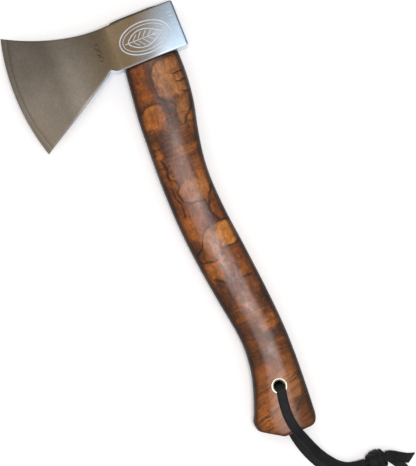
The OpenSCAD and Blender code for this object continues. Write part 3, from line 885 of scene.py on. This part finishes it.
def knot_winding(name, reach, start, rounds, begin, end, radius, lift):
    """A band wound round the knot's axis, which dives into the knot at both ends."""
    s = np.linspace(0, 1, WINDING_POINTS)
    rise = np.clip(np.minimum(s, 1 - s) / KNOT_DIVE, 0, 1)
    rise = rise * rise * (3 - 2 * rise)
    a = 2 * math.pi * (start + rounds * s)
    r = KNOT_DIVE_R + (radius + lift * np.sin(a) - KNOT_DIVE_R) * rise
    along = reach[0] * (begin + (end - begin) * s + 0.1 * np.sin(2 * a + start))
    centres = np.stack([along, reach[1] * r * np.cos(a), reach[2] * r * np.sin(a)], axis=1)
    ups = np.stack([0.22 * np.sin(3 * a), np.cos(a), np.sin(a)], axis=1)
    heading = unit(np.gradient(centres, axis=0))
    ups = unit(ups - heading * (ups * heading).sum(1)[:, None])
    return band(name, centres, np.cross(heading, ups), ups, KNOT_BAND_W, KNOT_BAND_T)


def knot_core(reach):
    """The strands inside the windings, as one pinched plug."""
    loops = []
    for t in np.linspace(-KNOT_CORE_END, KNOT_CORE_END, 26):
        wide = 0.42 + 0.22 * math.cos(t * math.pi / 2)
        loop = []
        for a in turns(KNOT_CORE_SIDES):
            y = wide * (1 + 0.07 * math.cos(2 * a + 3 * t)) * math.cos(a)
            z = wide * 0.8 * math.sin(a) - 0.16
            loop.append((reach[0] * t, reach[1] * y, reach[2] * z))
        loops.append(loop)
    return loft("knot_core", loops)


def knot():
    """Both strands run through one overhand knot pulled tight, made of crossing windings."""
    centre = (knot_lo + knot_hi) / 2
    reach = (knot_hi - knot_lo) / 2
    pieces = [knot_core(reach)]
    for k, winding in enumerate(KNOT_WINDINGS):
        pieces.append(knot_winding(f"knot_band_{k}", reach, *winding))
    made = wear(joined("lace_knot_tied", pieces), leather)
    limit = [half - KNOT_SLACK for half in reach]
    for v in made.data.vertices:
        for axis in range(3):
            v.co[axis] = max(-limit[axis], min(limit[axis], v.co[axis]))
        v.co += centre
    in_frame(made, "lace_knot")
    return made


knot_piece = knot()


# ---- head ----

POLL_ROUND = 1.5 * MM
EDGE_ROUND = 0.9 * MM
BEARD_ROUND = 2.4 * MM
EDGE_BEVEL = math.radians(16)
EDGE_HALF_T = 0.05 * MM
SAMPLE = 0.5 * MM
CHEEK_SPANS = 40
CORNER_SPANS = 4
EYE_SIDES = 64
BLOCK_FRONT = -24 * MM  # from here on to the edge, the head's cross-lines curve like the edge
NOTCH_DONE = -38 * MM
BEARD_START = 10 * MM  # length of blade over which its lower corners swell to the beard's rounding
CORNER_SHARE = 0.45  # most that one corner's rounding may take of the head's half thickness
EYE_FLARE = 0.6 * MM

head_tree = tree_of("head")
FAR = 0.5


def block_height(x):
    """A height at which a ray along Y misses the eye and meets the head's outline."""
    return MID_Z + (HALF_T - 1.6 * MM if x > EYE_X + BLOCK_FRONT else 0.02 * MM)


def outline_y(x, side):
    """The head's outline above, side 1, or below, side -1."""
    found = hit(head_tree, (x, side * FAR, block_height(x)), (0, -side, 0))
    return found.y if found else None


def sampled(xs, probe):
    """The probe's value at each x, with gaps filled from their neighbours."""
    values = [probe(x) for x in xs]
    known = [(x, v) for x, v in zip(xs, values) if v is not None]
    return np.interp(xs, [x for x, _ in known], [v for _, v in known])


def circle_through(a, b, c):
    """Centre and radius of the circle through three points in a plane."""
    chords = np.array([b - a, c - a])
    halves = np.array([(b @ b - a @ a) / 2, (c @ c - a @ a) / 2])
    centre = np.linalg.solve(chords, halves)
    return centre, float(np.linalg.norm(a - centre))


def edge_point(y):
    """A point of the cutting edge in the side view."""
    found = hit(head_tree, (-FAR, y, MID_Z), (1, 0, 0))
    return np.array([found.x, found.y])


NEAR_CORNER = 1 * MM
edge_centre, edge_radius = circle_through(
    edge_point(head_hi.y - NEAR_CORNER),
    edge_point((head_hi.y + head_lo.y) / 2),
    edge_point(head_lo.y + NEAR_CORNER),
)
toe_angle = math.pi - math.asin((head_hi.y - edge_centre[1]) / edge_radius)
heel_angle = math.pi - math.asin((head_lo.y - edge_centre[1]) / edge_radius)
toe = edge_centre + edge_radius * np.array([math.cos(toe_angle), math.sin(toe_angle)])
heel = edge_centre + edge_radius * np.array([math.cos(heel_angle), math.sin(heel_angle)])

head_xs = np.arange(max(toe[0], heel[0]) + 0.3 * MM, head_hi.x - 2 * MM, SAMPLE)
top_ys = smoothed(sampled(head_xs, lambda x: outline_y(x, 1)), 5)
bottom_ys = smoothed(sampled(head_xs, lambda x: outline_y(x, -1)), 1.2)


def top_y(x):
    """The head's upper outline, run on straight to the toe."""
    return np.interp(x, np.concatenate([[toe[0]], head_xs]), np.concatenate([[toe[1]], top_ys]))


def bottom_y(x):
    return np.interp(x, np.concatenate([[heel[0]], head_xs]), np.concatenate([[heel[1]], bottom_ys]))


def cheek_z(x):
    """Half the head's thickness half way between its outlines."""
    found = hit(head_tree, (x, (top_y(x) + bottom_y(x)) / 2, FAR), (0, 0, -1))
    return found.z - MID_Z if found else None


bevel_reach = 5 * MM
plan_xs = np.arange(head_lo.x + bevel_reach, head_hi.x - POLL_ROUND, SAMPLE)
plan_zs = smoothed(sampled(plan_xs, cheek_z), 9)
blade_slope = (plan_zs[8] - plan_zs[0]) / (plan_xs[8] - plan_xs[0])


def half_thickness(x, y):
    """Half the head's thickness at a point of the side view, bevel included."""
    plan = np.interp(x, plan_xs, plan_zs) + np.minimum(x - plan_xs[0], 0) * blade_slope
    depth = edge_radius - np.hypot(x - edge_centre[0], y - edge_centre[1])
    return np.maximum(np.minimum(plan, depth * math.tan(EDGE_BEVEL)), EDGE_HALF_T)


def arc_station(depth):
    """A cross-line that runs parallel to the cutting edge, from the beard line to the top edge."""
    radius = edge_radius - depth

    def end_angle(line_y, start):
        xs = np.linspace(start[0], start[0] + 0.02, 400)
        gaps = np.hypot(xs - edge_centre[0], line_y(xs) - edge_centre[1]) - radius
        x = float(np.interp(0, -gaps, xs))
        return math.atan2(float(line_y(x)) - edge_centre[1], x - edge_centre[0]) % (2 * math.pi)

    low = heel_angle if depth == 0 else end_angle(bottom_y, heel)
    high = toe_angle if depth == 0 else end_angle(top_y, toe)

    def at(v):
        a = low + (high - low) * np.asarray(v)
        return edge_centre + radius * np.stack([np.cos(a), np.sin(a)], axis=-1)

    return at


def blade_station(q, crease):
    """A cross-line between the eye block, q = 0, and the bevel's crease, q = 1."""
    start = EYE_X + BLOCK_FRONT
    ends = crease(np.array([0.0, 1.0]))
    low_x, high_x = start + q * (ends[:, 0] - start)
    low = np.array([low_x, float(bottom_y(low_x))])
    high = np.array([high_x, float(top_y(high_x))])

    def at(v):
        v = np.asarray(v)[..., None]
        bulge = crease(v[..., 0]) - (ends[0] + (ends[1] - ends[0]) * v)
        return low + (high - low) * v + bulge * q**1.5

    return at


def block_station(x, inset=0.0):
    """A straight cross-line over the eye block or the poll."""
    low = float(bottom_y(x)) + inset
    high = float(top_y(x)) - inset

    def at(v):
        v = np.asarray(v)
        return np.stack([np.full(v.shape, x), low + (high - low) * v], axis=-1)

    return at


def head_loop(at, inset=0.0):
    """A closed loop of points round the head on one cross-line, with rounded corners."""
    ends = at(np.array([0.0, 1.0]))
    length = float(np.linalg.norm(ends[1] - ends[0]))
    middle = at(np.array([0.5]))[0]
    thin = float(half_thickness(middle[0], middle[1]))
    on_beard = min(1.0, max(0.0, (EYE_X + BLOCK_FRONT - middle[0]) / BEARD_START))
    low_round = min(EDGE_ROUND + on_beard * (BEARD_ROUND - EDGE_ROUND), CORNER_SHARE * thin)
    high_round = min(EDGE_ROUND, CORNER_SHARE * thin)
    low_drop, low_rim = np.transpose(corner(low_round, CORNER_SPANS + 1)[:-1])
    high_drop, high_rim = np.transpose(corner(high_round, CORNER_SPANS + 1)[:-1])
    cheek = np.linspace(low_round, length - high_round, CHEEK_SPANS + 1)
    places = np.concatenate([low_rim, cheek, length - high_rim[::-1]])
    drops = np.concatenate([low_drop, np.zeros(len(cheek)), high_drop[::-1]])
    points = at(places / length)
    heights = np.maximum(half_thickness(points[:, 0], points[:, 1]) - inset - drops, EDGE_HALF_T / 2)
    near = [(x, y, MID_Z + h) for (x, y), h in zip(points, heights)]
    far = [(x, y, MID_Z - h) for (x, y), h in zip(points, heights)]
    return near + far[::-1]


block_bottom = float(bottom_y(EYE_X))
eye_mouths = []
for mouth_y in (block_bottom + 2 * MM, TOP_Y - 2 * MM):
    side_hit = hit(head_tree, (EYE_X, mouth_y, MID_Z), (0, 0, 1))
    end_hit = hit(head_tree, (EYE_X, mouth_y, MID_Z), (1, 0, 0))
    mouth_r = side_hit.z - MID_Z
    eye_mouths.append((mouth_y, mouth_r, end_hit.x - EYE_X - mouth_r))
EYE_STRAIGHT = eye_mouths[0][2]


def eye_radius(y):
    """Radius of the tapered eye's two round ends at a height along the haft."""
    (y0, r0, _), (y1, r1, _) = eye_mouths
    return r0 + (r1 - r0) * (y - y0) / (y1 - y0)


def eye_ring(y, radius, count):
    """A closed loop round the eye at one height: two half circles with straight sides between."""
    loop = []
    for a in turns(count, 0.5):
        side = math.copysign(EYE_STRAIGHT, math.cos(a))
        loop.append((EYE_X + side + radius * math.cos(a), y, MID_Z + radius * math.sin(a)))
    return loop


def eye_cutter():
    """The tapered eye's volume, flared at both of its mouths."""
    rows = [
        (block_bottom - EYE_FLARE, 2 * EYE_FLARE),
        (block_bottom + EYE_FLARE, 0),
        (TOP_Y - EYE_FLARE, 0),
        (TOP_Y + EYE_FLARE, 2 * EYE_FLARE),
    ]
    return loft("eye_cutter", [eye_ring(y, eye_radius(y) + more, EYE_SIDES) for y, more in rows])


def head_mesh():
    """Loops from the poll to the cutting edge: over the block, along the blade, down the bevel."""
    loops = []
    for inset, back in corner(POLL_ROUND, 5):
        loops.append(head_loop(block_station(head_hi.x - back, inset), inset))
    for x in np.linspace(head_hi.x - POLL_ROUND, EYE_X + BLOCK_FRONT, 24)[1:]:
        loops.append(head_loop(block_station(x)))
    crease_depth = float(half_thickness(plan_xs[0], edge_centre[1])) / math.tan(EDGE_BEVEL)
    crease = arc_station(crease_depth)
    blade_length = EYE_X + BLOCK_FRONT - float(crease(np.array([1.0]))[0, 0])
    notch = (BLOCK_FRONT - NOTCH_DONE) / blade_length
    for q in [*np.linspace(0, notch, 20)[1:], *np.linspace(notch, 1, 32)[1:]]:
        loops.append(head_loop(blade_station(q, crease)))
    for share in (0.66, 0.33, 0.1, 0.0):
        loops.append(head_loop(arc_station(crease_depth * share)))
    n = len(loops[0])
    last = (len(loops) - 1) * n
    ends = [tuple(range(n))]
    for j in range(n // 2 - 1):
        ends.append((last + j, last + j + 1, last + n - 2 - j, last + n - 1 - j))
    return skin("hatchet_head", loops, ends)


STAMP_DEPTH = 0.35 * MM

# The stamped marks: a plain leaf in an oval, a row of bars and three rings. The places and sizes
# below are plain millimetres, and the places count from the eye's axis and the head's top.
EMBLEM_AT = (2.0, -20.8)
OVAL = (21.2, 12.8)
OVAL_GAP = 2.6
LEAF_LEN = 29.0
LEAF_W = 14.5
LEAF_VEINS = 5
BARS = 8
BAR_X = (26.0, 29.4)
BAR_TOP = -8.6
BAR_STEP = 3.1
RINGS = 3
RING_AT = (-37.4, -13.6)
RING_GAP = 5.2
RING_R = (1.7, 2.0)


def on_cheek(x, y):
    """A point of the side view, from millimetres from the eye's axis and the head's top."""
    return EYE_X + x * MM, TOP_Y + y * MM


def on_emblem(x, y):
    return on_cheek(EMBLEM_AT[0] + x, EMBLEM_AT[1] + y)


def groove(points, width, closed=False):
    """A cutter with a trapezium section that follows points on the upper cheek."""
    n = len(points)
    loops = []
    for i, (x, y) in enumerate(points):
        before = points[i - 1] if closed or i > 0 else (x, y)
        after = points[(i + 1) % n] if closed or i < n - 1 else (x, y)
        along = np.subtract(after, before)
        across = np.array([-along[1], along[0], 0.0]) / math.hypot(*along) * width
        centre = np.array([x, y, MID_Z + float(half_thickness(x, y))])
        deep = np.array([0.0, 0.0, STAMP_DEPTH])
        corners = ((0.5, 1), (-0.5, 1), (-0.3, -1), (0.3, -1))
        loops.append([centre + across * side + deep * up for side, up in corners])
    last = 4 * n - 4
    ends = [(0, 1, 2, 3), (last, last + 1, last + 2, last + 3)]
    if closed:
        ends = [(last + j, last + (j + 1) % 4, (j + 1) % 4, j) for j in range(4)]
    return skin("groove", loops, ends)


def oval(rx, ry):
    return [on_emblem(rx * math.cos(a), ry * math.sin(a)) for a in turns(72)]


def leaf_edge(s):
    """Half width of the leaf at share s of its length, widest before the middle."""
    return LEAF_W / 2 * math.sin(math.pi * s**0.85) ** 0.9


def leaf_outline():
    """Both edges of the leaf, from its stalk to its tip and back."""
    shares = np.linspace(0.02, 0.98, 21)
    upper = [on_emblem((s - 0.5) * LEAF_LEN, leaf_edge(s)) for s in shares]
    lower = [on_emblem((s - 0.5) * LEAF_LEN, -leaf_edge(s)) for s in shares]
    return upper + lower[::-1]


def leaf_veins():
    """Side veins that leave the midrib aslant and bend towards the tip."""
    lines = []
    for k in range(LEAF_VEINS):
        s = 0.14 + 0.145 * k
        start = (s - 0.5) * LEAF_LEN
        for side in (-1, 1):
            rise = side * (leaf_edge(s + 0.12) - 1.5)
            steps = np.linspace(0.14, 1, 6)
            lines.append([on_emblem(start + 4.0 * t + 0.8 * t * t, rise * t) for t in steps])
    return lines


def stamp_groups():
    """Groups of grooves; the grooves of one group don't touch each other."""
    outer = groove(oval(*OVAL), 1.5 * MM, closed=True)
    inner = groove(oval(OVAL[0] - OVAL_GAP, OVAL[1] - OVAL_GAP), 0.9 * MM, closed=True)
    leaf = groove(leaf_outline(), 1.3 * MM, closed=True)
    rib = groove([on_emblem(-LEAF_LEN / 2 - 2.6, 0), on_emblem(LEAF_LEN / 2 - 1.2, 0)], 1.0 * MM)
    veins = [groove(line, 0.9 * MM) for line in leaf_veins()]
    bars = []
    for k in range(BARS):
        y = BAR_TOP - BAR_STEP * k
        bars.append(groove([on_cheek(BAR_X[0], y), on_cheek(BAR_X[1], y)], 1.1 * MM))
    return [[outer, inner, *bars], [leaf], [rib], veins]


def punches():
    """The punched rings, in a row across the neck."""
    made = []
    for k in range(RINGS):
        x, y = RING_AT[0], RING_AT[1] - RING_GAP * k
        ring = [on_cheek(x + RING_R[0] * math.cos(a), y + RING_R[1] * math.sin(a)) for a in turns(20)]
        made.append(groove(ring, 0.9 * MM, closed=True))
    return made


head = head_mesh()
wear(head, steel)
cut(head, wear(eye_cutter(), steel))
for group in stamp_groups():
    cut(head, wear(joined("stamp", group), stamped_steel_painted_highlight))
cut(head, wear(joined("punches", punches()), punched_steel_painted_shade))
finish_shading(head, 32)
in_frame(head, "head")


# ---- haft ----

HAFT_SIDES = 120
RING_STEP = 1.1 * MM
SECTION_POWER = 2.3
SHOULDER_ROUND = 1.2 * MM
BUTT_ZONE = 34 * MM  # length of the haft whose rings swing round to lie along the butt's end
BUTT_ROUND = 3.2 * MM
FEWEST_IN_RING = 60
TENON_SLACK = 0.03 * MM
END_COLUMNS = 10

haft_tree = tree_of("haft")
shoulder_y = block_bottom


def haft_rings_from_frame():
    """Rows of (y, blade side x, other side x, half thickness) read off the CAD haft's own rings."""
    rings = {}
    for v in frame["nodes"]["haft"].data.vertices:
        rings.setdefault(round(v.co.y / MM, 1), []).append(v.co)
    rows = []
    for ring in rings.values():
        y = ring[0].y
        whole = len(ring) >= FEWEST_IN_RING and haft_lo.y + BUTT_ROUND * 3 < y
        if whole and y < shoulder_y - 0.5 * MM and abs(y - HOLE.y) > 4 * MM:
            xs = [p.x for p in ring]
            rows.append((y, min(xs), max(xs), max(p.z for p in ring) - MID_Z))
    rows.sort()
    return np.array(rows)


haft_rows = haft_rings_from_frame()


def cubic_at(rows, y, column):
    """A column of sorted rows at any y, on a smooth curve; past the ends it runs on straight."""
    ys = rows[:, 0]
    vs = rows[:, column]
    slopes = np.gradient(vs, ys)
    y = np.asarray(y, float)
    i = np.clip(np.searchsorted(ys, y) - 1, 0, len(ys) - 2)
    gap = ys[i + 1] - ys[i]
    t = (y - ys[i]) / gap
    inner = np.clip(t, 0, 1)
    value = hermite(inner, vs[i], slopes[i] * gap, vs[i + 1], slopes[i + 1] * gap)
    beyond = (t - inner) * gap
    return value + beyond * np.where(t > 1, slopes[i + 1], slopes[i])


butt_start = haft_lo.y + BUTT_ZONE
butt_xs = np.arange(haft_lo.x + 2 * MM, haft_hi.x, 0.5 * MM)


def butt_y(x):
    """Where the butt ends at one x of the side view, or None past its sides."""
    found = hit(haft_tree, (x, -FAR, MID_Z), (0, 1, 0))
    return found.y if found and found.y < butt_start else None


butt_known = [(x, butt_y(x)) for x in butt_xs]
butt_known = np.array([p for p in butt_known if p[1] is not None])
butt_line = smoothed(butt_known[:, 1], 1.6)


angles = turns(HAFT_SIDES, 0.5)
ACROSS = np.sign(np.cos(angles)) * np.abs(np.cos(angles)) ** (2 / SECTION_POWER)
UP = np.sign(np.sin(angles)) * np.abs(np.sin(angles)) ** (2 / SECTION_POWER)


def haft_loop(y, inset=0.0):
    """A loop of the haft's skin, with one height y for all of its points or one for each."""
    y = y + np.zeros(HAFT_SIDES)
    left = cubic_at(haft_rows, y, 1) + inset
    right = cubic_at(haft_rows, y, 2) - inset
    high = cubic_at(haft_rows, y, 3) - inset
    return np.stack([(left + right) / 2 + ACROSS * (right - left) / 2, y, MID_Z + UP * high], axis=-1)


def butt_end_y(across):
    """Where the butt ends, for each share across the haft."""
    left, right = butt_known[0, 0], butt_known[-1, 0]
    return np.interp((left + right) / 2 + across * (right - left) / 2, butt_known[:, 0], butt_line)


def tenon_loops():
    """Loops of the tenon, which fills the eye, from its top down to the shoulder."""
    top = haft_hi.y
    rings = [(top, 0.5 * MM), (top - 0.15 * MM, 0.2 * MM)]
    rings += [(y, 0.0) for y in np.linspace(top - 0.5 * MM, shoulder_y + TENON_SLACK, 14)]
    return [eye_ring(y, eye_radius(y) - TENON_SLACK - inset, HAFT_SIDES) for y, inset in rings]


def grip_loops():
    """Loops from the rounded shoulder down the grip, swinging round to lie along the butt's end."""
    loops = []
    for inset, back in corner(SHOULDER_ROUND, 6):
        loops.append(haft_loop(shoulder_y - TENON_SLACK - back, inset))
    straight = np.arange(shoulder_y - SHOULDER_ROUND - RING_STEP, butt_start, -RING_STEP)
    loops += [haft_loop(y) for y in straight]
    swing = butt_end_y(ACROSS) + BUTT_ROUND - straight[-1]
    for share in np.linspace(0, 1, 30)[1:]:
        loops.append(haft_loop(straight[-1] + swing * share))
    for inset, back in corner(BUTT_ROUND, 8)[-2::-1]:
        loops.append(haft_loop(butt_end_y(ACROSS * 0.94) + back, inset))
    return loops


def end_face(points):
    """Faces over the last loop, in rows from its upper half to its lower one; adds their points."""
    base = len(points) - HAFT_SIDES
    rows = []
    for j in range(HAFT_SIDES // 2):
        above, below = base + j, base + HAFT_SIDES - 1 - j
        row = [above]
        for c in range(1, END_COLUMNS):
            share = c / END_COLUMNS
            row.append(len(points))
            points.append(points[above] * (1 - share) + points[below] * share)
        rows.append(row + [below])
    faces = []
    for a, b in zip(rows, rows[1:]):
        faces += [(a[c], a[c + 1], b[c + 1], b[c]) for c in range(END_COLUMNS)]
    return faces + [tuple(rows[0]), tuple(rows[-1])]


def haft_mesh():
    """Tenon, shoulder, grip and fawn's foot, as one skin from the top of the tenon to the butt."""
    loops = tenon_loops() + grip_loops()
    faces = lattice_faces(len(loops), HAFT_SIDES)
    faces.append(tuple(range(HAFT_SIDES)))
    points = [p for loop in loops for p in loop]
    faces += end_face(points)
    return new_object("hatchet_haft", points, faces)


def prism(name, top_w, tip_w, depth, length, proud, x=0.0, turn=0.0):
    """A wedge in the tenon's top, x from the eye's axis, with its length turned from the X axis."""
    c, s = math.cos(turn), math.sin(turn)
    corners = []
    for y, w in ((proud, top_w / 2), (-depth, tip_w / 2)):
        for px, pz in ((-length / 2, -w), (length / 2, -w), (length / 2, w), (-length / 2, w)):
            corners.append((EYE_X + x + c * px + s * pz, TOP_Y + y, MID_Z - s * px + c * pz))
    faces = [(0, 1, 2, 3), (7, 6, 5, 4), (0, 4, 5, 1), (1, 5, 6, 2), (2, 6, 7, 3), (3, 7, 4, 0)]
    return new_object(name, corners, faces, smooth=False)


KERF_TOP = wedge_hi.z - wedge_lo.z
KERF_DEPTH = TOP_Y - wedge_lo.y
KERF_TIP = 1 * MM
STEEL_TURN = math.radians(35)
STEEL_DEPTH = TOP_Y - steel_lo.y
STEEL_X = (steel_lo.x + steel_hi.x) / 2 - EYE_X
STEEL_TOP = 2.6 * MM
STEEL_TIP = 0.5 * MM
STEEL_LEN = 15 * MM
CUT_GROW = 0.1 * MM
CUT_PROUD = 3 * MM


def steel_prism(name, side, grow=0.0, proud=TENON_PROUD):
    top, tip, length = STEEL_TOP + grow, STEEL_TIP + grow, STEEL_LEN + grow
    return prism(name, top, tip, STEEL_DEPTH, length, proud, side * STEEL_X, side * STEEL_TURN + math.pi / 2)


def kerf_prism(name, length, grow=0.0, proud=TENON_PROUD):
    return prism(name, KERF_TOP + grow, KERF_TIP + grow, KERF_DEPTH, length, proud)


def cut_for_steel(made, material):
    """Cuts the slots of both steel wedges into a piece."""
    for side in (-1, 1):
        cut(made, wear(steel_prism("steel_cutter", side, CUT_GROW, CUT_PROUD), material))


SLEEVE_WALL_R = 5.2 * MM


def bore_cutter():
    """A cylinder through the haft, for the lanyard's sleeve."""
    loops = []
    for z in (head_lo.z - 5 * MM, head_hi.z + 5 * MM):
        circle = [(math.cos(a) * SLEEVE_WALL_R, math.sin(a) * SLEEVE_WALL_R) for a in turns(72)]
        loops.append([(HOLE.x + x, HOLE.y + y, z) for x, y in circle])
    return loft("bore_cutter", loops)


haft = wear(haft_mesh(), walnut)
cut(haft, wear(bore_cutter(), walnut))
cut(haft, wear(kerf_prism("kerf_cutter", 60 * MM, CUT_GROW, CUT_PROUD), walnut))
cut_for_steel(haft, walnut)
finish_shading(haft)
in_frame(haft, "haft")


def bevelled(made, width, segments):
    """The piece with its edges rounded, and shaded smoothly."""
    modified(made, "BEVEL", width=width, segments=segments)
    finish_shading(made)
    return made


def wooden_wedge():
    length = 2 * (EYE_STRAIGHT + eye_radius(TOP_Y) - 0.4 * MM)
    made = wear(kerf_prism("wooden_wedge_fitted", length), pale_wood)
    cut_for_steel(made, pale_wood)
    bevelled(made, 0.15 * MM, 2)
    in_frame(made, "wooden_wedge")


def steel_wedge(side, node):
    made = wear(bevelled(steel_prism(node + "_driven", side), 0.25 * MM, 3), wedge_steel)
    in_frame(made, node)


wooden_wedge()
steel_wedge(-1, "front_steel_wedge")
steel_wedge(1, "rear_steel_wedge")

wear(frame["nodes"]["lanyard_sleeve"], brass_material())


# ---- floor, light and view ----

FLOOR_HALF = 3.0


def floor():
    corners = [(-FLOOR_HALF, -FLOOR_HALF, 0), (FLOOR_HALF, -FLOOR_HALF, 0)]
    corners += [(-x, -y, z) for x, y, z in corners]
    made = wear(new_object("floor", corners, [(0, 1, 2, 3)]), floor_material())


def softbox(name, place_at, aim, width, height, radiance, colour=(1, 1, 1)):
    """An area light of a given brightness, which the camera doesn't see."""
    data = bpy.data.lights.new(name, "AREA")
    data.shape = "RECTANGLE"
    data.size = width
    data.size_y = height
    data.energy = radiance * math.pi * width * height
    data.color = colour
    made = linked(name, data)
    made.location = place_at
    made.rotation_euler = (Vector(aim) - Vector(place_at)).to_track_quat("-Z", "Y").to_euler()
    made.visible_camera = False


floor()
softbox("haft_strip", (0.13, -0.15, 2.0), (0.04, -0.1, 0), 0.12, 0.5, 112, (1.0, 0.95, 0.94))
softbox("poll_box", (0.42, 0.45, 2.0), (0.06, 0.15, 0), 0.5, 0.5, 2.5, (0.82, 0.92, 1.0))

world = bpy.data.worlds.new("studio")
world.use_nodes = True
world.node_tree.nodes["Background"].inputs["Color"].default_value = (1.0, 1.0, 1.0, 1)
world.node_tree.nodes["Background"].inputs["Strength"].default_value = 0.75
bpy.context.scene.world = world
bpy.context.scene.view_settings.view_transform = "Standard"
